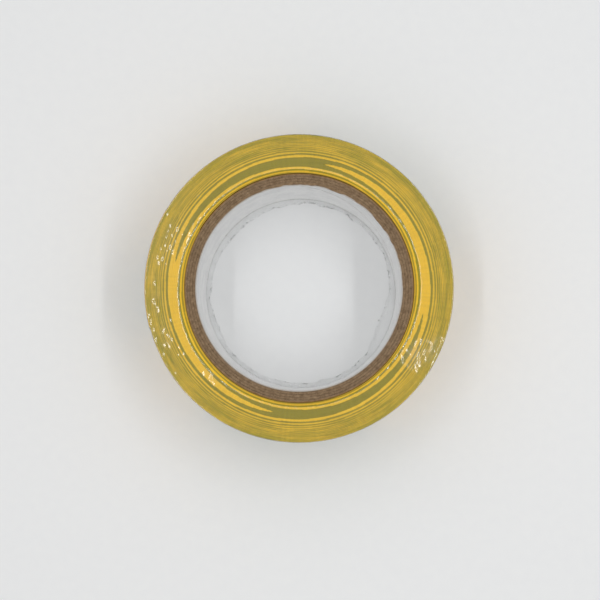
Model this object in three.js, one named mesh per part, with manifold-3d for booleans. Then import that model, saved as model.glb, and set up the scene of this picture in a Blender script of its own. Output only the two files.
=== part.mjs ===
// A roll of green and yellow PVC tape on a spiral-wound board core, in a shrunk clear film sleeve.
// Millimetres, +Z up. The roll lies on one side face: its axis is Z, and the origin is at the
// bottom of the sleeve, on that axis. Seen from above, the tape winds outward counter-clockwise.

import * as THREE from "three";
import * as BufferGeometryUtils from "three/addons/utils/BufferGeometryUtils.js";
import Module from "manifold-3d";

const wasm = await Module();
wasm.setup();

// ---- driving dimensions -------------------------------------------------------------------

const TAPE_WIDTH = 19; // slit width of the tape, and the height of the roll
const TAPE_THICKNESS = 0.08; // PVC film with its adhesive
const TAPE_TURNS = 90; // full turns between the core and the free end

const CORE_BORE_RADIUS = 19; // 38 mm, the usual bore of a small tape core
const LINER_THICKNESS = 0.2; // white paper that lines the bore
const PLY_THICKNESS = 0.45; // one strip of brown chipboard
const PLY_COUNT = 4;
const GLUE_LINE = 0.05; // between plies, and between the core and the tape
const SEAM_LEAN = 60; // degrees from the roll's axis to the edges of the wound strips
const SEAM_GAP = 0.4; // butt joint between neighbouring turns of one strip
const SEAM_START = -5; // degrees, foot of the liner's seam, whose head comes out near 95
const SEAM_OFFSET = 72; // degrees from one ply's seam to the next

const TAIL_ROOT = 150; // degrees, where the loose end of the tape leaves the roll
const TAIL_ARC = 45; // degrees of the outer turn that the loose end covers
const TAIL_CLEARANCE = 0.05; // under the loose end and at its root

const FILM_THICKNESS = 0.05;
const FILM_CLEARANCE = 0.05; // between the film and what it wraps
const TOP_LIP_SETBACK = 0.75; // bare tape left between the core and the film's upper lip
const BOTTOM_LIP_REACH = 1; // how far the lower lip passes under the bore

const FACETS = 96; // flats round the roll; every ring has its corners at the same angles
const SEAM_STEPS = 14; // straight steps along a ply's seam
const BLADE_OVERRUN = 1; // how far the blade that cuts a seam runs past the ply all round

// ---- sizes that follow from them ----------------------------------------------------------

const ROLL_BOTTOM = FILM_THICKNESS + FILM_CLEARANCE;
const ROLL_TOP = ROLL_BOTTOM + TAPE_WIDTH;
const LINER_OUTER = CORE_BORE_RADIUS + LINER_THICKNESS;
const PLY_PITCH = PLY_THICKNESS + GLUE_LINE;
const CORE_RADIUS = LINER_OUTER + PLY_COUNT * PLY_PITCH;
const TAPE_START = CORE_RADIUS + GLUE_LINE;
const TAPE_END = TAPE_START + TAPE_TURNS * TAPE_THICKNESS; // radius of the turn under the tail
const TAIL_GROWTH = TAPE_THICKNESS * (TAIL_ARC / 360);
const TAIL_RADIUS = TAPE_END + TAIL_GROWTH + TAIL_CLEARANCE + TAPE_THICKNESS;
const FILM_INNER = TAIL_RADIUS + FILM_CLEARANCE;
const FILM_OUTER = FILM_INNER + FILM_THICKNESS;
const FILM_TOP = ROLL_TOP + FILM_CLEARANCE + FILM_THICKNESS;
const TOP_LIP_RADIUS = TAPE_START + TOP_LIP_SETBACK;
const BOTTOM_LIP_RADIUS = CORE_BORE_RADIUS - BOTTOM_LIP_REACH;

// ---- helpers ------------------------------------------------------------------------------

const radians = THREE.MathUtils.degToRad;

function polar(radius, angle) {
  return new THREE.Vector2(radius * Math.cos(angle), radius * Math.sin(angle));
}

// Points of one turn, whose radius grows evenly by `growth`; the last one closes on the first.
function turn(radius, growth, startDegrees) {
  const points = [];
  const last = growth === 0 ? FACETS - 1 : FACETS;
  for (let k = 0; k <= last; k += 1) {
    const share = k / FACETS;
    points.push(polar(radius + growth * share, radians(startDegrees) + share * 2 * Math.PI));
  }
  return points;
}

// A flat outline, with an optional hole, raised from the bottom to the top of the roll.
function raised(outline, hole) {
  const shape = new THREE.Shape(outline);
  if (hole) {
    shape.holes.push(new THREE.Path(hole));
  }
  const geometry = new THREE.ExtrudeGeometry(shape, { depth: TAPE_WIDTH, bevelEnabled: false });
  return geometry.translate(0, 0, ROLL_BOTTOM);
}

function toManifold(geometry) {
  const bare = geometry.clone();
  bare.deleteAttribute("normal");
  bare.deleteAttribute("uv");
  const merged = BufferGeometryUtils.mergeVertices(bare, 1e-5);
  return new wasm.Manifold(
    new wasm.Mesh({
      numProp: 3,
      vertProperties: new Float32Array(merged.attributes.position.array),
      triVerts: new Uint32Array(merged.index.array),
    }),
  );
}

function fromManifold(solid) {
  const mesh = solid.getMesh();
  const geometry = new THREE.BufferGeometry();
  geometry.setAttribute("position", new THREE.BufferAttribute(mesh.vertProperties, 3));
  geometry.setIndex(new THREE.BufferAttribute(mesh.triVerts, 1));
  geometry.computeVertexNormals();
  return geometry;
}

// ---- core ---------------------------------------------------------------------------------

// The thin helical blade that parts a wound strip along its seam.
function seamBlade(inner, outer, footDegrees) {
  const middle = (inner + outer) / 2;
  const depth = outer - inner + 2 * BLADE_OVERRUN;
  const height = TAPE_WIDTH + 2 * BLADE_OVERRUN;
  const twist = Math.tan(radians(SEAM_LEAN)) / middle;
  const blade = new THREE.BoxGeometry(SEAM_GAP, depth, height, 1, 1, SEAM_STEPS);
  const position = blade.attributes.position;
  for (let i = 0; i < position.count; i += 1) {
    const z = position.getZ(i) + TAPE_WIDTH / 2;
    const angle = radians(footDegrees) + twist * z - position.getX(i) / middle;
    const at = polar(middle + position.getY(i), angle);
    position.setXYZ(i, at.x, at.y, ROLL_BOTTOM + z);
  }
  return blade;
}

// One strip of paper or board, wound to a tube whose edges butt along a helical seam.
function spiralPly(inner, outer, footDegrees) {
  const tube = toManifold(raised(turn(outer, 0, 0), turn(inner, 0, 0)));
  const blade = toManifold(seamBlade(inner, outer, footDegrees));
  return fromManifold(tube.subtract(blade));
}

// ---- tape ---------------------------------------------------------------------------------

// All the turns as one pack: a step of one thickness outside where the tail leaves it, and one
// inside where the first turn starts. The turns are whole, so both steps are at one angle.
function windingPack() {
  return raised(
    turn(TAPE_END, TAPE_THICKNESS, TAIL_ROOT),
    turn(TAPE_START, TAPE_THICKNESS, TAIL_ROOT),
  );
}

// The loose end: the last stretch of the strip, lying on the turn below it.
function looseEnd() {
  const steps = Math.max(2, Math.round((TAIL_ARC / 360) * FACETS));
  const rootGap = TAIL_CLEARANCE / TAPE_END;
  const inner = [];
  const outer = [];
  for (let k = 0; k <= steps; k += 1) {
    const share = k / steps;
    const radius = TAPE_END + TAIL_GROWTH * share + TAIL_CLEARANCE;
    const angle = radians(TAIL_ROOT + TAIL_ARC * share) + (k === 0 ? rootGap : 0);
    inner.push(polar(radius, angle));
    outer.push(polar(radius + TAPE_THICKNESS, angle));
  }
  return raised([...outer, ...inner.reverse()]);
}

// ---- sleeve -------------------------------------------------------------------------------

// A thin channel turned round the roll: up the outside, and in over both side faces.
function shrunkFilm() {
  const profile = [
    [BOTTOM_LIP_RADIUS, 0],
    [FILM_OUTER, 0],
    [FILM_OUTER, FILM_TOP],
    [TOP_LIP_RADIUS, FILM_TOP],
    [TOP_LIP_RADIUS, FILM_TOP - FILM_THICKNESS],
    [FILM_INNER, FILM_TOP - FILM_THICKNESS],
    [FILM_INNER, FILM_THICKNESS],
    [BOTTOM_LIP_RADIUS, FILM_THICKNESS],
    [BOTTOM_LIP_RADIUS, 0],
  ];
  const points = profile.map(([radius, z]) => new THREE.Vector2(radius, z));
  return new THREE.LatheGeometry(points, FACETS).rotateX(Math.PI / 2);
}

// ---- materials and assembly ---------------------------------------------------------------

const linerPaper = new THREE.MeshStandardMaterial({ color: 0xe9e7e2, roughness: 0.85, metalness: 0 });
const chipboard = new THREE.MeshStandardMaterial({ color: 0x7b6751, roughness: 0.95, metalness: 0 });
const woundTape = new THREE.MeshStandardMaterial({ color: 0xb9a03f, roughness: 0.4, metalness: 0 });
const tapeEnd = new THREE.MeshStandardMaterial({ color: 0x5f8f3c, roughness: 0.3, metalness: 0 });
const shrinkFilm = new THREE.MeshStandardMaterial({
  color: 0xf4f6f7,
  roughness: 0.12,
  metalness: 0,
  transparent: true,
  opacity: 0.3,
});

const roll = new THREE.Group();

function add(name, geometry, material) {
  const mesh = new THREE.Mesh(geometry, material);
  mesh.name = name;
  roll.add(mesh);
}

add("core_liner", spiralPly(CORE_BORE_RADIUS, LINER_OUTER, SEAM_START), linerPaper);
for (let ply = 1; ply <= PLY_COUNT; ply += 1) {
  const inner = LINER_OUTER + GLUE_LINE + (ply - 1) * PLY_PITCH;
  const seam = SEAM_START + ply * SEAM_OFFSET;
  add(`core_ply_${ply}`, spiralPly(inner, inner + PLY_THICKNESS, seam), chipboard.clone());
}
add("tape_winding", windingPack(), woundTape);
add("tape_tail", looseEnd(), tapeEnd);
add("shrink_sleeve", shrunkFilm(), shrinkFilm);

export default roll;
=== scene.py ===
"""Looks for a roll of green and yellow PVC tape on a spiral board core, in a shrunk clear film sleeve."""

import math
import random
from collections import namedtuple

import bmesh
import bpy
from mathutils import Matrix, Vector, noise


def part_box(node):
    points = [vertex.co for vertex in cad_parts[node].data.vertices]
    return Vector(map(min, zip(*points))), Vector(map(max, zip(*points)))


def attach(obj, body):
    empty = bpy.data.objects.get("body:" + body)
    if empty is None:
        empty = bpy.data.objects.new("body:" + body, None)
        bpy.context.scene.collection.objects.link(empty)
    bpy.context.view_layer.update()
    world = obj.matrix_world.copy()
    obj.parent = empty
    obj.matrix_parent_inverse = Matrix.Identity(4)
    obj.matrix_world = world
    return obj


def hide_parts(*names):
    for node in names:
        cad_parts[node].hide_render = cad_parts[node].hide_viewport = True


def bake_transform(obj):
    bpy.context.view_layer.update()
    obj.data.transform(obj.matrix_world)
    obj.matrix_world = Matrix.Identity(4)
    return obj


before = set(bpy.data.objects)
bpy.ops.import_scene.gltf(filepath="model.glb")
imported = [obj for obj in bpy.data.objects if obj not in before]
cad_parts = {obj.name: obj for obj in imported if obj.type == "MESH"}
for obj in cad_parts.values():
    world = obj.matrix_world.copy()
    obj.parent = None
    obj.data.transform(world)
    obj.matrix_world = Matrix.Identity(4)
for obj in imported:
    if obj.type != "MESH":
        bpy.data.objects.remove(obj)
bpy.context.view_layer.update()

MM = 0.001  # metres in a millimetre
TURN = 2 * math.pi
WELD = 1e-8  # points nearer than this, in metres, are one

# ---- sizes of the roll -------------------------------------------------------------------------


def radii(node):
    """The smallest and largest distance of a CAD node from the roll's axis."""
    reach = [math.hypot(v.co.x, v.co.y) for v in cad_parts[node].data.vertices]
    return min(reach), max(reach)


ROLL_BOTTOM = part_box("tape_winding")[0].z
ROLL_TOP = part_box("tape_winding")[1].z
TAPE_WIDTH = ROLL_TOP - ROLL_BOTTOM
TAPE_START = radii("tape_winding")[0]
TAPE_THICKNESS = 0.08 * MM
TAPE_TURNS = round((radii("tape_winding")[1] - TAPE_START) / TAPE_THICKNESS) - 1
TAPE_END = TAPE_START + TAPE_TURNS * TAPE_THICKNESS
TAIL_ROOT = math.radians(150)
TAIL_ARC = math.radians(45)
TAIL_LIFT = 0.05 * MM  # gap under the loose end

FILM_WALL = 0.05 * MM
FILM_RADIUS = radii("shrink_sleeve")[1] - FILM_WALL / 2
FILM_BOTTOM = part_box("shrink_sleeve")[0].z + FILM_WALL / 2
FILM_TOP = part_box("shrink_sleeve")[1].z - FILM_WALL / 2
FILM_DEPTH = FILM_RADIUS - TAPE_START  # of the film over a side face, from its rim to the core
FILM_CLOSE = 0.03 * MM  # between the shrunk film and what it wraps
STEP_EASE = math.radians(0.8)  # how gently the film comes off the ends of the loose tape
UPPER_LIP = TAPE_START + 0.75 * MM
LOWER_LIP = radii("shrink_sleeve")[0]

PLIES = [f"core_ply_{number}" for number in range(1, 5)]
SEAM_GAP = 0.4 * MM
SEAM_LEAN = math.radians(60)
SEAM_START = math.radians(-5)
SEAM_OFFSET = math.radians(72)

BAR_PERIOD = 73.26 * MM  # one green and one yellow bar, along the tape
BAR_PHASE = 0.862
BAR_SLANT = 1.0  # how far a bar leans along the tape for each unit across it

RUN_MAP = "run"  # UV map of the free end: turns from the tape's start, and height in mm
CREASED = "creased"  # how crumpled the film is at a point, 0 to 1

# ---- mesh helpers ------------------------------------------------------------------------------


def on_circle(radius, angle, height):
    return Vector((radius * math.cos(angle), radius * math.sin(angle), height))


def ring_noise(place, angle, fineness, spread, seed):
    """Seamless noise: fineness is features per radian round the roll, spread features per unit of place."""
    at = (math.cos(angle) * fineness, math.sin(angle) * fineness, place * spread + seed)
    return noise.noise(at)


def away(angle, middle):
    """Size of the turn between two angles, by the short way."""
    return abs((angle - middle + math.pi) % TURN - math.pi)


def swell(angle, middle_degrees, half_degrees):
    """A smooth hump of height 1 round the roll, at an angle in degrees."""
    return math.exp(-((away(angle, math.radians(middle_degrees)) / math.radians(half_degrees)) ** 2))


def wrap(rows, columns, at):
    """Bends a grid round the roll's axis and welds its seams: at gives a point's radius, angle, height."""
    shape = bmesh.new()
    bmesh.ops.create_grid(shape, x_segments=columns, y_segments=rows, size=1)
    for vert in shape.verts:
        column = round((vert.co.x + 1) / 2 * columns)
        row = round((vert.co.y + 1) / 2 * rows)
        vert.co = on_circle(*at(row, column))
    bmesh.ops.remove_doubles(shape, verts=shape.verts, dist=WELD)
    return shape


def finish_mesh(shape, name, material, replaced):
    """Makes the piece from a bmesh, with its finish, in place of its CAD node."""
    bmesh.ops.recalc_face_normals(shape, faces=shape.faces)
    mesh = bpy.data.meshes.new(name)
    shape.to_mesh(mesh)
    shape.free()
    mesh.shade_smooth()
    mesh.set_sharp_from_angle(angle=math.radians(50))
    piece = bpy.data.objects.new(name, mesh)
    bpy.context.scene.collection.objects.link(piece)
    mesh.materials.append(material)
    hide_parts(replaced)
    return piece


def steps_between(first, last, count):
    """Evenly spaced values from first to last, both included."""
    return [first + (last - first) * k / count for k in range(count + 1)]


# ---- material helpers --------------------------------------------------------------------------


def linear(hex_colour):
    """An sRGB colour such as 0x7B6751 as linear RGBA."""
    channels = [(hex_colour >> shift & 255) / 255 for shift in (16, 8, 0)]
    return (*[c / 12.92 if c <= 0.04045 else ((c + 0.055) / 1.055) ** 2.4 for c in channels], 1)


def new_material(name):
    material = bpy.data.materials.new(name)
    material.use_nodes = True
    material.node_tree.nodes.clear()
    return material, material.node_tree


def add(tree, kind, sockets, **settings):
    """Adds a shader node. A socket is keyed by name or place, and takes a value, a node or an output."""
    made = tree.nodes.new("ShaderNode" + kind)
    for key, value in settings.items():
        setattr(made, key, value)
    for key, value in sockets.items():
        if isinstance(key, str):
            socket = next(s for s in made.inputs if s.enabled and s.name == key)
        else:
            socket = made.inputs[key]
        if isinstance(value, bpy.types.Node):
            value = next(s for s in value.outputs if s.enabled)
        if isinstance(value, bpy.types.NodeSocket):
            tree.links.new(value, socket)
        else:
            socket.default_value = value
    return made


def place_in_mm(tree):
    """A point's place on its piece, in mm."""
    place = add(tree, "TexCoord", {}).outputs["Object"]
    return add(tree, "VectorMath", {0: place, "Scale": 1 / MM}, operation="SCALE")


def round_axis(tree, place_mm):
    """A point's distance from the roll's axis, and the direction outwards there."""
    flat = add(tree, "VectorMath", {0: place_mm, 1: (1, 1, 0)}, operation="MULTIPLY")
    radius = add(tree, "VectorMath", {0: flat}, operation="LENGTH")
    return radius, add(tree, "VectorMath", {0: flat}, operation="NORMALIZE")


def squarely_up_or_down(tree):
    """0 on an upright wall and 1 on a side face of the roll."""
    facing = add(tree, "SeparateXYZ", {0: add(tree, "TexCoord", {}).outputs["Normal"]})
    return add(tree, "Math", {0: facing.outputs["Z"]}, operation="ABSOLUTE")


def ring_texture(tree, outwards, per_radian, climb, detail, roughness):
    """Noise drawn out along the turns: a number of features per radian, and outward as climb says."""
    around = add(tree, "VectorMath", {0: outwards, "Scale": per_radian}, operation="SCALE")
    at = add(tree, "VectorMath", {0: around, 1: add(tree, "CombineXYZ", {"Z": climb})}, operation="ADD")
    return add(tree, "TexNoise", {"Vector": at, "Scale": 1.0, "Detail": detail, "Roughness": roughness})


# ---- plasticised PVC tape ----------------------------------------------------------------------
# Soft calendered PVC, coloured through in green and yellow bars, wound and then slit. The bars of
# neighbouring turns drift past each other, which draws long wedges on the slit side faces.

TAPE_YELLOW = (0xEEBB1C, 0xFFD53E)  # deepest and palest along a streak
TAPE_GREEN = (0x887E18, 0xA89C2E)
DRAGGED_OLIVE = 0x9A940C  # the two colours worked together
RUBBED_GLUE = 0xB08818
SQUEEZED_GLUE = 0x7A4A06
STREAKS_ROUND = 3.0  # the knife's marks in each radian round the roll
STREAKS_OUT = 5.5  # in each mm across the turns
STREAKS_UP = 0.6  # and in each mm of height on the outer wall
SMEARS_ROUND = 3.2
SMEARS_OUT = 1.3
CHATTER_ROUND = 75.0  # radial ticks in each radian, coarser than a real knife's so that they show
END_STREAKS = (20.0, 0.6, 0.0)  # on the free end: in each turn, and in each mm of height
SLACK_TURNS = (46.0, 66.0)  # from where the bars slip, to where they slip the most
SLACK_SLIP = 60.0  # mm of slip at the most
SMEARED_TURNS = (38.0, 58.0)
OLIVE_TURNS = (78.0, 90.0)
RUBBED_TURNS = 10.0
TAPE_RELIEF = 0.06 * MM
TAPE_IOR = 1.53
TAPE_SPECULAR = 0.3
PRINTED_FACE_ROUGH = 0.32
SLIT_FACE_ROUGH = 0.6


def tape_tones(tree, streaks):
    """The tape's yellow and green, each varying a little along the streaks."""
    return [
        add(tree, "Mix", {"Factor": streaks, "A": linear(deep), "B": linear(pale)}, data_type="RGBA")
        for deep, pale in (TAPE_YELLOW, TAPE_GREEN)
    ]


def barred_tape(tree, tones, turns, below, slip):
    """Bars by turns from the tape's start and depth in mm below its edge, slipped along it by some mm."""
    squared = add(tree, "Math", {0: turns, 1: turns}, operation="MULTIPLY")
    curved = add(tree, "Math", {0: squared, 1: math.pi * TAPE_THICKNESS / MM}, operation="MULTIPLY")
    length = add(tree, "Math", {0: turns, 1: TURN * TAPE_START / MM, 2: curved}, operation="MULTIPLY_ADD")
    leaned = add(tree, "Math", {0: below, 1: BAR_SLANT, 2: length}, operation="MULTIPLY_ADD")
    slipped = add(tree, "Math", {0: leaned, 1: slip}, operation="ADD")
    bars = add(tree, "Math", {0: slipped, 1: MM / BAR_PERIOD, 2: BAR_PHASE}, operation="MULTIPLY_ADD")
    phase = add(tree, "Math", {0: bars}, operation="FRACT")
    green = add(tree, "Math", {0: phase, 1: 0.5}, operation="LESS_THAN")
    return add(tree, "Mix", {"Factor": green, "A": tones[0], "B": tones[1]}, data_type="RGBA")


def wound_place(tree, axes, radius):
    """Where a point lies in the strip: turns from its start, and the place through its own turn, 0 to 1."""
    angle = add(tree, "Math", {0: axes.outputs["Y"], 1: axes.outputs["X"]}, operation="ARCTAN2")
    turned = add(tree, "Math", {0: angle, 1: 1 / TURN}, operation="MULTIPLY")
    share = add(tree, "Math", {0: turned}, operation="FRACT")
    # a quarter of a turn's depth is taken off, so that the outer wall stays inside its own turn
    thickness = TAPE_THICKNESS / MM
    depth = add(tree, "Math", {0: radius, 1: 1 / thickness, 2: -TAPE_START / MM / thickness - 0.25},
                operation="MULTIPLY_ADD")
    wound = add(tree, "Math", {0: depth, 1: share}, operation="SUBTRACT")
    layer = add(tree, "Math", {0: wound}, operation="FLOOR")
    through = add(tree, "Math", {0: wound}, operation="FRACT")
    turns = add(tree, "Math", {0: layer, 1: share}, operation="ADD")
    return turns, through


def slack_slip(tree, turns, slit):
    """Slip of the bars in mm: uneven winding tension moves them more and more towards the outside."""
    slack = add(tree, "TexNoise", {"W": turns, "Scale": 0.9, "Detail": 4.0, "Roughness": 0.65},
                noise_dimensions="1D")
    centred = add(tree, "Math", {0: slack, 1: 0.5}, operation="SUBTRACT")
    outward = add(tree, "MapRange", {"Value": turns, "From Min": SLACK_TURNS[0], "From Max": SLACK_TURNS[1],
                                     "To Max": SLACK_SLIP})
    drift = add(tree, "Math", {0: centred, 1: outward}, operation="MULTIPLY")
    return add(tree, "Math", {0: drift, 1: slit}, operation="MULTIPLY")


def smeared_edges(tree, barred, tones, turns, smears, slit):
    """The slitting knife drags the two colours over each other, in places to a deep olive."""
    green_share = add(tree, "MapRange", {"Value": smears, "From Min": 0.32, "From Max": 0.6, "To Min": 0.25})
    dragged = add(tree, "Mix", {"Factor": green_share, "A": tones[0], "B": tones[1]}, data_type="RGBA")
    deep = add(tree, "MapRange", {"Value": smears, "From Min": 0.52, "From Max": 0.66, "To Max": 0.8})
    olive = add(tree, "Mix", {"Factor": deep, "A": dragged, "B": linear(DRAGGED_OLIVE)}, data_type="RGBA")
    smeared = add(tree, "MapRange", {"Value": turns, "From Min": SMEARED_TURNS[0],
                                     "From Max": SMEARED_TURNS[1], "To Max": 0.65})
    here = add(tree, "Math", {0: smeared, 1: slit}, operation="MULTIPLY")
    return add(tree, "Mix", {"Factor": here, "A": barred, "B": olive}, data_type="RGBA")


def olive_outer_turns(tree, colour, turns, streaks, slit):
    """Tints the outermost turns on the side faces olive, in long patches."""
    outer_band = add(tree, "MapRange", {"Value": turns, "From Min": OLIVE_TURNS[0], "From Max": OLIVE_TURNS[1],
                                   "To Max": 0.65})
    patchy = add(tree, "MapRange", {"Value": streaks, "From Min": 0.42, "From Max": 0.62})
    olive_share = add(tree, "Math", {0: outer_band, 1: patchy}, operation="MULTIPLY")
    here = add(tree, "Math", {0: olive_share, 1: slit}, operation="MULTIPLY")
    return add(tree, "Mix", {"Factor": here, "A": colour, "B": linear(DRAGGED_OLIVE)}, data_type="RGBA")


def glued_edges(tree, colour, turns, through, slit):
    """Glue from the core is rubbed over the first turns, and a little is squeezed out between all turns."""
    rubbed = add(tree, "MapRange", {"Value": turns, "From Max": RUBBED_TURNS, "To Min": 0.6, "To Max": 0.0})
    wiped = add(tree, "Mix", {"Factor": rubbed, "A": colour, "B": linear(RUBBED_GLUE)}, data_type="RGBA")
    from_middle = add(tree, "Math", {0: through, 1: 0.5}, operation="SUBTRACT")
    off_middle = add(tree, "Math", {0: from_middle}, operation="ABSOLUTE")
    glue = add(tree, "MapRange", {"Value": off_middle, "From Min": 0.38, "From Max": 0.5, "To Max": 0.4})
    here = add(tree, "Math", {0: glue, 1: slit}, operation="MULTIPLY")
    return add(tree, "Mix", {"Factor": here, "A": wiped, "B": linear(SQUEEZED_GLUE)}, data_type="RGBA")


def chattered(tree, colour, outwards, slit):
    """Fine radial ticks, left where the knife shook."""
    chatter_at = add(tree, "VectorMath", {0: outwards, "Scale": CHATTER_ROUND}, operation="SCALE")
    chatter = add(tree, "TexNoise", {"Vector": chatter_at, "Scale": 1.0, "Detail": 1.0})
    ticks = add(tree, "MapRange", {"Value": chatter, "From Min": 0.35, "From Max": 0.65,
                                   "To Min": 0.94, "To Max": 1.03})
    here = add(tree, "Mix", {"Factor": slit, "A": 1.0, "B": ticks}, data_type="FLOAT")
    return add(tree, "VectorMath", {0: colour, "Scale": here}, operation="SCALE")


def make_tape_material():
    """Tape seen as wound: its slit edges on the side faces, and its printed face round the outside."""
    material, tree = new_material("plasticised_pvc_tape")
    place_mm = place_in_mm(tree)
    axes = add(tree, "SeparateXYZ", {0: place_mm})
    radius, outwards = round_axis(tree, place_mm)
    slit = add(tree, "MapRange", {"Value": squarely_up_or_down(tree), "From Min": 0.5, "From Max": 0.9})
    rise = add(tree, "Math", {0: axes.outputs["Z"], 1: STREAKS_UP}, operation="MULTIPLY")
    climb = add(tree, "Math", {0: radius, 1: STREAKS_OUT, 2: rise}, operation="MULTIPLY_ADD")
    streaks = ring_texture(tree, outwards, STREAKS_ROUND, climb, 3.0, 0.6)
    smear_climb = add(tree, "Math", {0: radius, 1: SMEARS_OUT}, operation="MULTIPLY")
    smears = ring_texture(tree, outwards, SMEARS_ROUND, smear_climb, 4.0, 0.7)

    turns, through = wound_place(tree, axes, radius)
    below = add(tree, "Math", {0: ROLL_TOP / MM, 1: axes.outputs["Z"]}, operation="SUBTRACT")
    tones = tape_tones(tree, streaks)
    colour = barred_tape(tree, tones, turns, below, slack_slip(tree, turns, slit))
    colour = smeared_edges(tree, colour, tones, turns, smears, slit)
    colour = olive_outer_turns(tree, colour, turns, streaks, slit)
    colour = glued_edges(tree, colour, turns, through, slit)
    colour = chattered(tree, colour, outwards, slit)

    rough = add(tree, "MapRange", {"Value": slit, "To Min": PRINTED_FACE_ROUGH, "To Max": SLIT_FACE_ROUGH})
    bump = add(tree, "Bump", {"Height": streaks, "Strength": 0.35, "Distance": TAPE_RELIEF})
    shader = add(tree, "BsdfPrincipled", {
        "Base Color": colour, "Roughness": rough, "Normal": bump,
        "IOR": TAPE_IOR, "Specular IOR Level": TAPE_SPECULAR,
    })
    add(tree, "OutputMaterial", {"Surface": shader})
    return material


def make_free_end_material():
    """The same tape on its free end, where turns and height in mm come with the strip as it bends."""
    material, tree = new_material("plasticised_pvc_tape_end")
    run = add(tree, "UVMap", {}, uv_map=RUN_MAP)
    axes = add(tree, "SeparateXYZ", {0: run})
    below = add(tree, "Math", {0: TAPE_WIDTH / MM, 1: axes.outputs["Y"]}, operation="SUBTRACT")
    stretched = add(tree, "VectorMath", {0: run, 1: END_STREAKS}, operation="MULTIPLY")
    streaks = add(tree, "TexNoise", {"Vector": stretched, "Scale": 1.0, "Detail": 3.0, "Roughness": 0.6})
    colour = barred_tape(tree, tape_tones(tree, streaks), axes.outputs["X"], below, 0.0)
    bump = add(tree, "Bump", {"Height": streaks, "Strength": 0.35, "Distance": TAPE_RELIEF})
    shader = add(tree, "BsdfPrincipled", {
        "Base Color": colour, "Roughness": PRINTED_FACE_ROUGH, "Normal": bump,
        "IOR": TAPE_IOR, "Specular IOR Level": TAPE_SPECULAR,
    })
    add(tree, "OutputMaterial", {"Surface": shader})
    return material


# ---- chipboard ---------------------------------------------------------------------------------
# Brown board made from waste paper, slit with the tape: a dull, torn end grain of short fibres that
# lie along the wound strip, with paler and darker flecks.

BOARD_BROWN = (0x6A533B, 0x947B5E)
PALE_FLECK = 0xB7A286
DARK_PIT = 0x45362A
SOAKED_BOARD = 0x94691C
FIBRES_ROUND = 30.0  # fibres in each radian round the core
FIBRES_OUT = 3.5  # in each mm through the board
FIBRES_UP = 2.5  # and in each mm of height
MOTTLE_PER_MM = 1.7
GRAIN = 0.2  # mm across one grain of the pulp
SOAK_DEPTH = 0.3  # mm that the adhesive goes into the board
BOARD_RELIEF = 0.12 * MM


def make_board_material():
    material, tree = new_material("brown_chipboard")
    place_mm = place_in_mm(tree)
    axes = add(tree, "SeparateXYZ", {0: place_mm})
    radius, outwards = round_axis(tree, place_mm)
    rise = add(tree, "Math", {0: axes.outputs["Z"], 1: FIBRES_UP}, operation="MULTIPLY")
    climb = add(tree, "Math", {0: radius, 1: FIBRES_OUT, 2: rise}, operation="MULTIPLY_ADD")
    fibres = ring_texture(tree, outwards, FIBRES_ROUND, climb, 3.0, 0.65)
    mottle = add(tree, "TexNoise", {"Vector": place_mm, "Scale": MOTTLE_PER_MM, "Detail": 3.0,
                                    "Roughness": 0.6})
    grain = add(tree, "TexNoise", {"Vector": place_mm, "Scale": 1 / GRAIN, "Detail": 2.0, "Roughness": 0.7})
    blotched = add(tree, "Math", {0: mottle, 1: 0.62}, operation="MULTIPLY")
    mixed = add(tree, "Math", {0: fibres, 1: 0.38, 2: blotched}, operation="MULTIPLY_ADD")
    spread = add(tree, "MapRange", {"Value": mixed, "From Min": 0.34, "From Max": 0.66})
    board = add(tree, "Mix", {"Factor": spread, "A": linear(BOARD_BROWN[0]), "B": linear(BOARD_BROWN[1])},
                data_type="RGBA")
    fleck = add(tree, "MapRange", {"Value": grain, "From Min": 0.56, "From Max": 0.72, "To Max": 0.3})
    flecked = add(tree, "Mix", {"Factor": fleck, "A": board, "B": linear(PALE_FLECK)}, data_type="RGBA")
    pit = add(tree, "MapRange", {"Value": grain, "From Min": 0.42, "From Max": 0.28, "To Max": 0.4})
    pitted = add(tree, "Mix", {"Factor": pit, "A": flecked, "B": linear(DARK_PIT)}, data_type="RGBA")
    # the tape's adhesive soaks a little way into the outside of the board
    soaked = add(tree, "MapRange", {"Value": radius, "From Min": TAPE_START / MM - SOAK_DEPTH,
                                    "From Max": TAPE_START / MM - 0.05, "To Max": 0.6})
    stained = add(tree, "Mix", {"Factor": soaked, "A": pitted, "B": linear(SOAKED_BOARD)}, data_type="RGBA")
    relief = add(tree, "Math", {0: fibres, 1: grain}, operation="ADD")
    bump = add(tree, "Bump", {"Height": relief, "Strength": 0.7, "Distance": BOARD_RELIEF})
    shader = add(tree, "BsdfPrincipled", {"Base Color": stained, "Roughness": 0.95, "Normal": bump})
    add(tree, "OutputMaterial", {"Surface": shader})
    return material


# ---- liner paper -------------------------------------------------------------------------------
# Bleached paper with a faint machine finish: smooth, matt and nearly white, a little scuffed.

PAPER_WHITE = (0xE5E5E5, 0xEFEFEE)
BOARD_DUST = 0x8A7B69
BOARD_CRUMB = 0x6B5138
PULP_PER_MM = 1.6
SCUFFS_PER_MM = 0.35
CRUMBS_PER_MM = 2.3
CRUMBS_BELOW = 1.3  # mm above the table, where crumbs of board collect
PAPER_RELIEF = 0.04 * MM


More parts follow.
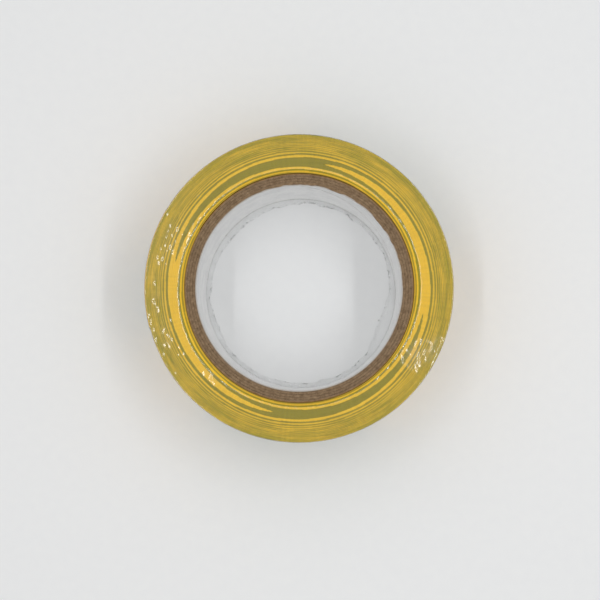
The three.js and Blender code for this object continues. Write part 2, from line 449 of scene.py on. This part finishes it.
def make_paper_material():
    material, tree = new_material("bleached_liner_paper")
    place_mm = place_in_mm(tree)
    pulp = add(tree, "TexNoise", {"Vector": place_mm, "Scale": PULP_PER_MM, "Detail": 4.0, "Roughness": 0.6})
    scuffs = add(tree, "TexNoise", {"Vector": place_mm, "Scale": SCUFFS_PER_MM, "Detail": 2.0})
    tone = add(tree, "Math", {0: pulp, 1: scuffs}, operation="MULTIPLY")
    spread = add(tree, "MapRange", {"Value": tone, "From Min": 0.15, "From Max": 0.34})
    paper = add(tree, "Mix", {"Factor": spread, "A": linear(PAPER_WHITE[0]), "B": linear(PAPER_WHITE[1])},
                data_type="RGBA")
    # the slit edge is fuzzy and takes up dust of the board
    dust = add(tree, "MapRange", {"Value": squarely_up_or_down(tree), "From Min": 0.3, "From Max": 0.8,
                                  "To Max": 0.65})
    dusty = add(tree, "Mix", {"Factor": dust, "A": paper, "B": linear(BOARD_DUST)}, data_type="RGBA")
    # specks of board caught low in the bore
    height = add(tree, "SeparateXYZ", {0: place_mm}).outputs["Z"]
    low = add(tree, "MapRange", {"Value": height, "From Min": CRUMBS_BELOW, "From Max": 0.4})
    crumbs = add(tree, "TexNoise", {"Vector": place_mm, "Scale": CRUMBS_PER_MM, "Detail": 2.0,
                                    "Roughness": 0.7})
    speck = add(tree, "MapRange", {"Value": crumbs, "From Min": 0.58, "From Max": 0.63, "To Max": 0.85})
    speck_here = add(tree, "Math", {0: speck, 1: low}, operation="MULTIPLY")
    specked = add(tree, "Mix", {"Factor": speck_here, "A": dusty, "B": linear(BOARD_CRUMB)},
                  data_type="RGBA")
    bump = add(tree, "Bump", {"Height": pulp, "Strength": 0.25, "Distance": PAPER_RELIEF})
    shader = add(tree, "BsdfPrincipled", {"Base Color": specked, "Roughness": 0.75, "Normal": bump})
    add(tree, "OutputMaterial", {"Surface": shader})
    return material


# ---- shrink film -------------------------------------------------------------------------------
# Clear PVC film, shrunk tight with hot air: it hardly tints what is under it, mirrors lamps in its
# creases, and hazes a little.

RIPPLES_PER_MM = 0.7
CRINKLES_PER_MM = 1.5
FILM_RELIEF = 0.035 * MM
FILM_ROUGH = 0.13
FILM_MIRROR = 0.04  # share of the light that the film mirrors when looked at straight on
LET_THROUGH = (0.998, 0.999, 0.998, 1)  # of each colour of light, closer to all of it than a hex step
MIRRORED = 0xFFFFFF
HAZE_WHITE = 0xF3F5F7
FILM_HAZE = 0.004
CREASED_HAZE = 0.05


def make_film_material():
    material, tree = new_material("clear_shrink_film")
    place_mm = place_in_mm(tree)
    creased = add(tree, "Attribute", {}, attribute_name=CREASED).outputs["Fac"]
    ripple = add(tree, "TexNoise", {"Vector": place_mm, "Scale": RIPPLES_PER_MM, "Detail": 2.0,
                                    "Roughness": 0.5})
    crinkle = add(tree, "TexNoise", {"Vector": place_mm, "Scale": CRINKLES_PER_MM, "Detail": 3.0,
                                     "Roughness": 0.6}, noise_type="RIDGED_MULTIFRACTAL")
    crinkled = add(tree, "Math", {0: crinkle, 1: creased}, operation="MULTIPLY")
    relief = add(tree, "Math", {0: ripple, 1: 0.9, 2: crinkled}, operation="MULTIPLY_ADD")
    bump = add(tree, "Bump", {"Height": relief, "Strength": 0.8, "Distance": FILM_RELIEF})
    facing = add(tree, "LayerWeight", {"Blend": 0.5, "Normal": bump}).outputs["Facing"]
    grazing = add(tree, "Math", {0: facing, 1: 5.0}, operation="POWER")
    mirrored = add(tree, "Math", {0: grazing, 1: 1 - FILM_MIRROR, 2: FILM_MIRROR}, operation="MULTIPLY_ADD")
    clear = add(tree, "BsdfTransparent", {"Color": LET_THROUGH})
    haze = add(tree, "BsdfDiffuse", {"Color": linear(HAZE_WHITE)})
    blushed = add(tree, "Math", {0: creased, 1: CREASED_HAZE, 2: FILM_HAZE}, operation="MULTIPLY_ADD")
    hazy = add(tree, "MixShader", {0: blushed, 1: clear, 2: haze})
    gloss = add(tree, "BsdfPrincipled", {
        "Base Color": linear(MIRRORED), "Metallic": 1.0, "Roughness": FILM_ROUGH, "Normal": bump,
    })
    film = add(tree, "MixShader", {0: mirrored, 1: hazy, 2: gloss})
    add(tree, "OutputMaterial", {"Surface": film})
    return material


# ---- backdrop ----------------------------------------------------------------------------------
# Uncoated white card with a faint tooth, matt and very slightly cool.

CARD_WHITE = (0xECEDEE, 0xF0F1F1)
TOOTH_PER_MM = 0.5


def make_backdrop_material():
    material, tree = new_material("matt_backdrop_card")
    place_mm = place_in_mm(tree)
    tooth = add(tree, "TexNoise", {"Vector": place_mm, "Scale": TOOTH_PER_MM, "Detail": 4.0})
    card = add(tree, "Mix", {"Factor": tooth, "A": linear(CARD_WHITE[0]), "B": linear(CARD_WHITE[1])},
               data_type="RGBA")
    shader = add(tree, "BsdfPrincipled", {"Base Color": card, "Roughness": 0.8})
    add(tree, "OutputMaterial", {"Surface": shader})
    return material


# ---- the wound tape ----------------------------------------------------------------------------

PACK_STEPS = 320
PACK_STEP_WIDTH = math.radians(0.05)  # how sharply the outer turn ends
EDGE_STAGGER = 0.012 * MM  # of one turn's edge against the next
EDGE_WAVE = 0.05 * MM
EDGE_SETBACK = 0.03 * MM  # so that no edge stands past the tape's width
BELOW_SEED = 200  # turns further on in the noise, for the lower side face
TAIL_STEPS = (56, 8)  # along the free end and up it
RAGGED_END = 0.08 * MM
RAGGED_SHARE = 20  # the last part in this many of the free end is ragged


def edge_relief(turns, angle):
    """How far a turn's slit edge stands out of the side face: each turn a little, and slow waves."""
    own = noise.noise((turns * 1.7, 4.1, 0.5)) * EDGE_STAGGER
    wave = ring_noise(turns * 0.09, angle, 1.6, 1.0, 7.3) * EDGE_WAVE
    return own + wave - EDGE_SETBACK


def make_pack(material):
    """The turns as one pack, with every turn's edge a ring of its own on both side faces."""
    edges = [TAPE_START + TAPE_THICKNESS * turn for turn in range(TAPE_TURNS + 1)]
    wall = steps_between(ROLL_TOP, ROLL_BOTTOM, 6)
    section = [(radius, ROLL_TOP) for radius in edges]
    section += [(edges[-1], height) for height in wall[1:-1]]
    section += [(radius, ROLL_BOTTOM) for radius in reversed(edges)]
    section.append(section[0])

    def at(row, column):
        radius, height = section[row]
        share = column % PACK_STEPS / (PACK_STEPS - 1)
        angle = TAIL_ROOT + share * (TURN - PACK_STEP_WIDTH)
        turns_below = (radius - TAPE_START) / TAPE_THICKNESS + share
        if height == ROLL_TOP:
            height += edge_relief(turns_below, angle)
        elif height == ROLL_BOTTOM:
            height -= edge_relief(turns_below + BELOW_SEED, angle)
        return radius + TAPE_THICKNESS * share, angle, height

    shape = wrap(len(section) - 1, PACK_STEPS, at)
    piece = finish_mesh(shape, "wound_tape", material, "tape_winding")
    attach(piece, "roll")


def make_tail(material):
    """The loose end of the tape, lying on the turn below it until it is peeled."""
    shape = bmesh.new()
    bmesh.ops.create_grid(shape, x_segments=TAIL_STEPS[0], y_segments=TAIL_STEPS[1], size=0.5)
    bmesh.ops.solidify(shape, geom=shape.faces[:], thickness=1.0)
    lowest = min(vert.co.z for vert in shape.verts)
    run = shape.loops.layers.uv.new(RUN_MAP)
    for face in shape.faces:
        for loop in face.loops:
            turns = TAPE_TURNS + (TAIL_ROOT + TAIL_ARC * (loop.vert.co.x + 0.5)) / TURN
            loop[run].uv = (turns, (loop.vert.co.y + 0.5) * TAPE_WIDTH / MM)
    for vert in shape.verts:
        share = vert.co.x + 0.5
        upward = vert.co.y + 0.5
        outside = vert.co.z > lowest + 0.5
        grown = TAPE_THICKNESS * TAIL_ARC / TURN * share
        radius = TAPE_END + grown + TAIL_LIFT + (TAPE_THICKNESS if outside else 0)
        angle = TAIL_ROOT + TAIL_ARC * share + TAIL_LIFT / TAPE_END * (1 - share)
        near_end = max(0.0, 1 - (1 - share) * RAGGED_SHARE)
        ragged = noise.noise((upward * 9.0, 2.2, 0.0)) * RAGGED_END * near_end
        vert.co = on_circle(radius, angle + ragged / radius, ROLL_BOTTOM + TAPE_WIDTH * upward)
    piece = finish_mesh(shape, "tape_free_end", material, "tape_tail")
    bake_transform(piece)


# ---- the core ----------------------------------------------------------------------------------

CORE_STEPS = 480
TORN_COARSE = 0.05 * MM
TORN_FINE = 0.03 * MM
TORN_SETBACK = 0.06 * MM  # so that torn fibres stay inside the tape's width


def torn_edge(radius, angle, seed):
    """Roughness of slit board: short fibres pulled up and pushed in."""
    coarse = ring_noise(radius, angle, 14.0, 2500.0, seed) * TORN_COARSE
    fine = ring_noise(radius, angle, 45.0, 9000.0, seed + 5) * TORN_FINE
    return coarse + fine


def burr(angle):
    """Board dragged in over the liner's edge by the slitting knife, most of it on one side."""
    strength = max(0.0, math.cos(angle - math.radians(60)) * 1.6 - 0.5)
    lumps = ring_noise(0, angle, 7.0, 1.0, 31.0) + 0.5 * ring_noise(0, angle, 19.0, 1.0, 37.0)
    return strength * max(0.0, 0.25 + lumps) * 0.3 * MM


def make_strip(name, node, number, material, wall_rows, face_rows):
    """One wound strip of the core, butted along a helical seam, with its torn slit edges."""
    inner, outer = radii(node)
    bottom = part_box(node)[0].z
    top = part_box(node)[1].z
    across = steps_between(inner, outer, face_rows)
    down = steps_between(top, bottom, wall_rows)
    section = [(radius, top) for radius in across]
    section += [(outer, height) for height in down[1:-1]]
    section += [(radius, bottom) for radius in reversed(across)]
    section += [(inner, height) for height in reversed(down[:-1])]
    gap = SEAM_GAP / ((inner + outer) / 2)
    twist = math.tan(SEAM_LEAN) / ((inner + outer) / 2)
    foot = SEAM_START + number * SEAM_OFFSET

    def at(row, column):
        radius, height = section[row]
        angle = foot + gap / 2 + (TURN - gap) * column / CORE_STEPS + twist * (height - bottom)
        rough = torn_edge(radius, angle, number * 3.7)
        if height == top:
            height += rough - TORN_SETBACK
            if number == 0:
                height -= burr(angle) * 0.8
            elif number == 1 and radius < inner + (outer - inner) * 0.3:
                radius -= burr(angle)
        elif height == bottom:
            height -= rough - TORN_SETBACK
        return radius, angle, height

    shape = wrap(len(section) - 1, CORE_STEPS, at)
    open_ends = [edge for edge in shape.edges if edge.is_boundary]
    bmesh.ops.holes_fill(shape, edges=open_ends, sides=0)
    piece = finish_mesh(shape, name, material, node)
    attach(piece, "roll")


def make_core(paper, board):
    make_strip("bore_liner", "core_liner", 0, paper, 24, 2)
    for number, node in enumerate(PLIES, start=1):
        make_strip(f"board_ply_{number}", node, number, board, 16, 5)


# ---- the film sleeve ---------------------------------------------------------------------------

FILM_STEPS = 560
SCAN_STEPS = 3600  # fine steps round the roll, from which the film's columns are picked
CORNER = 0.12 * MM
LAY_FLAT = (333, 153)  # degrees: where the film tube was folded flat
# stretches whose creases need closer columns: middle and half width in degrees, and the extra share
CLOSE_STRETCHES = [(190, 45, 1.3), (330, 15, 2.0)]

# a stretch of the upper side face where shrinking left the film creased: middle and half width in degrees,
# middle radius and half width in mm, number of creases, their half length and width in mm, their steepest
# slope in degrees, and the crumpling between them, 0 to 1
Patch = namedtuple("Patch", "middle half_turn radius half_across count half_length width slope crumple")
CREASED_PATCHES = [
    Patch(330, 5, 24.5, 1.5, 20, 1.3, 0.45, 13, 1.0),
    Patch(335, 5, 27.0, 1.0, 10, 0.8, 0.36, 13, 0.8),
    Patch(160, 10, 25.0, 1.5, 22, 0.4, 0.28, 5, 0.3),
    Patch(185, 5, 26.5, 0.5, 5, 0.4, 0.30, 5, 0.2),
    Patch(200, 5, 26.0, 1.0, 14, 0.35, 0.26, 5, 0.3),
    Patch(200, 10, 28.0, 0.2, 8, 0.3, 0.20, 5, 0.0),
    Patch(225, 5, 23.0, 0.5, 6, 0.6, 0.36, 7, 0.5),
    Patch(0, 180, 26.0, 2.0, 36, 0.3, 0.24, 8, 0.0),
]
CREASE_SEED = 11
CREASE_RUN = 90  # degrees from X: the creases lie roughly along Y
CREASE_SPREAD = 30  # degrees that a crease leans either way from that
CREASE_CAP = 0.2  # highest that the film stands off the face, in mm
STEEPEST = math.sqrt(2 / math.e)  # steepest slope of a bell-shaped ridge as high as it is wide


def film_angles():
    """Angles of the film's columns, closer together where it is creased."""
    weights = []
    for k in range(SCAN_STEPS):
        scanned = TURN * k / SCAN_STEPS
        closer = [extra * swell(scanned, middle, half) for middle, half, extra in CLOSE_STRETCHES]
        weights.append(1 + sum(closer))
    step = sum(weights) / FILM_STEPS
    angles = [0.0]
    passed = 0.0
    for k, weight in enumerate(weights):
        passed += weight
        while passed >= step * len(angles) and len(angles) < FILM_STEPS:
            angles.append(TURN * (k + 1 - (passed - step * len(angles)) / weight) / SCAN_STEPS)
    return angles + [TURN]


def scatter_creases():
    """The creases of every patch: middle x and y, direction in radians, half length, height and width."""
    dice = random.Random(CREASE_SEED)
    made = []
    for patch in CREASED_PATCHES:
        for _ in range(patch.count):
            angle = math.radians(patch.middle + dice.uniform(-patch.half_turn, patch.half_turn))
            out = patch.radius + dice.uniform(-patch.half_across, patch.half_across)
            run = math.radians(CREASE_RUN + dice.uniform(-CREASE_SPREAD, CREASE_SPREAD))
            across = patch.width * dice.uniform(0.8, 1.2)
            steep = math.radians(patch.slope * dice.uniform(0.75, 1.25))
            half = patch.half_length * dice.uniform(0.5, 1.3)
            height = across * math.tan(steep) / STEEPEST
            made.append((out * math.cos(angle), out * math.sin(angle), run, half, height, across))
    return made


def crease_height(creases, x, y):
    """Height of the creases at a place on the side face, in mm."""
    total = 0.0
    for middle_x, middle_y, run, half, height, width in creases:
        dx, dy = x - middle_x, y - middle_y
        if abs(dx) > half * 2 or abs(dy) > half * 2:
            continue
        along = dx * math.cos(run) + dy * math.sin(run)
        off = dy * math.cos(run) - dx * math.sin(run)
        total += height * math.exp(-((off / width) ** 2) - (along / half) ** 4)
    return CREASE_CAP * math.tanh(total / CREASE_CAP)


def gather(angle):
    """How strongly the film is gathered, from 0 to 1: most where the tube was folded flat."""
    return max(swell(angle, middle, 9) for middle in LAY_FLAT)


def crumple(radius, angle):
    """How crinkled the upper film is, from 0 to 1."""
    total = 0.0
    for patch in CREASED_PATCHES:
        outward = math.exp(-(((radius / MM - patch.radius) / patch.half_across) ** 2))
        total += patch.crumple * swell(angle, patch.middle, patch.half_turn) * outward
    return min(1.0, total)


def upper_lip_shift(angle):
    """How far the upper lip lies outside its usual circle, in mm."""
    wide = 0.45 * swell(angle, 10, 30) + 0.45 * swell(angle, 210, 25) - 0.2 * swell(angle, 325, 15)
    return wide + 0.12 * ring_noise(0, angle, 9.0, 1.0, 3.0) + 0.07 * ring_noise(0, angle, 40.0, 1.0, 9.0)


def upper_film(radius, angle, creases):
    """Radius and rise, in mm, of the film over the upper side face."""
    from_lip = (radius - UPPER_LIP) / MM
    out = radius / MM + math.exp(-from_lip / 1.4) * upper_lip_shift(angle)
    pleat = abs(ring_noise(radius, angle, 20.0, 1400.0, 12.0)) * (0.5 + 2.0 * gather(angle))
    curl = max(0.0, 0.06 + 0.11 * ring_noise(0, angle, 24.0, 1.0, 17.0))
    curl *= math.exp(-((from_lip / 0.22) ** 2))
    tight = 0.5 + 0.5 * ring_noise(radius, angle, 4.5, 260.0, 21.0)
    rise = 0.02 * tight + math.exp(-from_lip / 0.8) * 0.05 * pleat + curl
    return out, rise + crease_height(creases, out * math.cos(angle), out * math.sin(angle))


def wrapped_radius(angle):
    """Radius of the film round the outside: close on the last turn, and over the free end of the tape."""
    after_root = (angle - TAIL_ROOT) % TURN
    to_root = TURN - after_root
    past_end = max(0.0, after_root - TAIL_ARC)
    covered = max(math.exp(-((past_end / STEP_EASE) ** 2)), math.exp(-((to_root / STEP_EASE) ** 2)))
    rise = TAPE_THICKNESS * math.exp(-((past_end / STEP_EASE) ** 2)) + TAIL_LIFT * covered
    return TAPE_END + TAPE_THICKNESS * after_root / TURN + rise + FILM_CLOSE + FILM_WALL / 2


def wall_stand_off(height, angle):
    """How far the film stands off the outside, in mm: folds of the flat tube, and gathers at both rims."""
    up = (height - FILM_BOTTOM) / (FILM_TOP - FILM_BOTTOM)
    fold = max(swell(angle, middle, 0.7) for middle in LAY_FLAT) * (0.12 + 0.20 * math.sin(math.pi * up))
    rims = math.exp(-up / 0.12) + math.exp(-(1 - up) / 0.12)
    gathers = abs(ring_noise(height, angle, 30.0, 60.0, 61.0)) * (0.06 + 0.14 * rims)
    waves = (0.5 + ring_noise(height, angle, 3.0, 150.0, 67.0)) * 0.08
    return (fold + gathers + max(0.0, waves)) * min(1.0, 12 * up, 12 * (1 - up))


def lower_lip_reach(angle):
    """How far the lower lip reaches further into the bore, in mm: a wide tongue on one side."""
    ripple = ring_noise(0, angle, 6.0, 1.0, 41.0) * 0.45 + ring_noise(0, angle, 22.0, 1.0, 43.0) * 0.25
    return 1.4 * swell(angle, 340, 17) + 0.35 * swell(angle, 130, 30) + ripple


def film_section():
    """The outline of the film, from its lower lip under the roll and up the wall to its upper lip on top."""
    quarter = steps_between(0, math.pi / 2, 3)[1:-1]
    outline = [(radius, FILM_BOTTOM) for radius in steps_between(LOWER_LIP, FILM_RADIUS - CORNER, 12)]
    outline += [(FILM_RADIUS - CORNER * (1 - math.sin(a)), FILM_BOTTOM + CORNER * (1 - math.cos(a)))
                for a in quarter]
    wall = steps_between(FILM_BOTTOM + CORNER, FILM_TOP - CORNER, 7)
    outline += [(FILM_RADIUS, height) for height in wall]
    outline += [(FILM_RADIUS - CORNER * (1 - math.cos(a)), FILM_TOP - CORNER * (1 - math.sin(a)))
                for a in quarter]
    return outline + [(radius, FILM_TOP) for radius in steps_between(FILM_RADIUS - CORNER, UPPER_LIP, 54)]


def make_sleeve(material):
    """The film as one tight skin: in under the roll, up its outside and in over the top."""
    section = film_section()
    angles = film_angles()
    creases = scatter_creases()

    def at(row, column):
        radius, height = section[row]
        angle = angles[column]
        radius += (wrapped_radius(angle) - FILM_RADIUS) * max(0.0, (radius - TAPE_START) / FILM_DEPTH)
        if height == FILM_TOP:
            out, rise = upper_film(radius, angle, creases)
            return out * MM, angle, height + rise * MM
        if height == FILM_BOTTOM:
            inside = max(0.0, (TAPE_START - radius) / (TAPE_START - LOWER_LIP))
            pucker = ring_noise(0, angle, 11.0, 1.0, 51.0)
            pucker += 0.5 * ring_noise(radius, angle, 30.0, 900.0, 53.0)
            lifted = max(0.0, inside - 0.7) * max(0.3, 1.4 + 3.6 * pucker)
            return radius - inside * lower_lip_reach(angle) * MM, angle, height + lifted * MM
        return radius + wall_stand_off(height, angle) * MM, angle, height

    shape = wrap(len(section) - 1, FILM_STEPS, at)
    amount = shape.verts.layers.float.new(CREASED)
    for vert in shape.verts:
        radius, angle = math.hypot(vert.co.x, vert.co.y), math.atan2(vert.co.y, vert.co.x)
        if vert.co.z > FILM_TOP - WELD:
            vert[amount] = crumple(radius, angle)
        elif vert.co.z > FILM_BOTTOM + WELD and radius > TAPE_END:
            vert[amount] = 0.1 + 0.3 * gather(angle)
    piece = finish_mesh(shape, "film_sleeve", material, "shrink_sleeve")
    wall = piece.modifiers.new("film_wall", "SOLIDIFY")
    wall.thickness = FILM_WALL
    wall.offset = 0
    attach(piece, "sleeve")


# ---- floor, lights and camera ------------------------------------------------------------------

CAMERA_AT = Vector((4.1, -12.3, 233.6)) * MM
CAMERA_AIM = Vector((0.2, -2.3, 19.2)) * MM
CAMERA_ANGLE = math.radians(28.93)
STRIPS = [  # x and height of the two strip lamps over the table, and their power in watts
    (132 * MM, 284 * MM, 0.16),
    (-107 * MM, 330 * MM, 0.15),
]
STRIP_SIZE = (12 * MM, 280 * MM)
FLOOR_HALF = 1.2  # metres from the roll to the card's edge
SENSOR_WIDTH = 36  # mm
NEAREST_SEEN = 0.01  # metres from the camera
TENT_WHITE = 0xFFFFFF
# brightness of the light tent, by the height of the direction looked in, from 0 level to 1 straight up
TENT_FOOT = 0.08
TENT_BRIGHT = 0.935
TENT_SHOULDER = 0.75
ROOF_OPENING = (0.88, 0.975)
OPENING_SHARE = 0.25


def make_floor(material):
    shape = bmesh.new()
    bmesh.ops.create_grid(shape, x_segments=8, y_segments=8, size=FLOOR_HALF)
    mesh = bpy.data.meshes.new("backdrop_card")
    shape.to_mesh(mesh)
    shape.free()
    mesh.materials.append(material)
    floor = bpy.data.objects.new("backdrop_card", mesh)
    bpy.context.scene.collection.objects.link(floor)


def aimed(obj, at, target):
    """Points a lamp or camera at the target, with +Y up in its picture."""
    ahead = (target - at).normalized()
    right = ahead.cross(Vector((0, 1, 0))).normalized()
    turned = Matrix((right, right.cross(ahead), -ahead)).transposed()
    obj.matrix_world = Matrix.Translation(at) @ turned.to_4x4()
    bpy.context.scene.collection.objects.link(obj)


def make_lights():
    for number, (x, height, power) in enumerate(STRIPS, start=1):
        lamp = bpy.data.lights.new(f"strip_lamp_{number}", "AREA")
        lamp.shape = "RECTANGLE"
        lamp.size, lamp.size_y = STRIP_SIZE
        lamp.energy = power
        at = Vector((x, 0, height))
        aimed(bpy.data.objects.new(lamp.name, lamp), at, Vector((0, 0, 0)))
    world = bpy.data.worlds.new("light_tent")
    bpy.context.scene.world = world
    world.use_nodes = True
    tree = world.node_tree
    tree.nodes.clear()
    # a tent lit from its roof, so dimmer towards the table, with a darker opening overhead
    upward = add(tree, "SeparateXYZ", {0: add(tree, "TexCoord", {}).outputs["Generated"]}).outputs["Z"]
    wall = add(tree, "MapRange", {"Value": upward, "From Max": TENT_SHOULDER, "To Min": TENT_FOOT,
                                  "To Max": TENT_BRIGHT})
    roof = add(tree, "MapRange", {"Value": upward, "From Min": ROOF_OPENING[0], "From Max": ROOF_OPENING[1],
                                  "To Min": 1.0, "To Max": OPENING_SHARE})
    strength = add(tree, "Math", {0: wall, 1: roof}, operation="MULTIPLY")
    tent = add(tree, "Background", {"Color": linear(TENT_WHITE), "Strength": strength})
    add(tree, "OutputWorld", {"Surface": tent})


def make_camera():
    lens = bpy.data.cameras.new("camera")
    lens.sensor_width = SENSOR_WIDTH
    lens.angle = CAMERA_ANGLE
    lens.clip_start = NEAREST_SEEN
    camera = bpy.data.objects.new("camera", lens)
    aimed(camera, CAMERA_AT, CAMERA_AIM)
    bpy.context.scene.camera = camera


make_camera()
make_floor(make_backdrop_material())
make_lights()
bpy.context.scene.view_settings.view_transform = "Standard"

tape = make_tape_material()
make_pack(tape)
make_tail(make_free_end_material())
make_core(make_paper_material(), make_board_material())
make_sleeve(make_film_material())
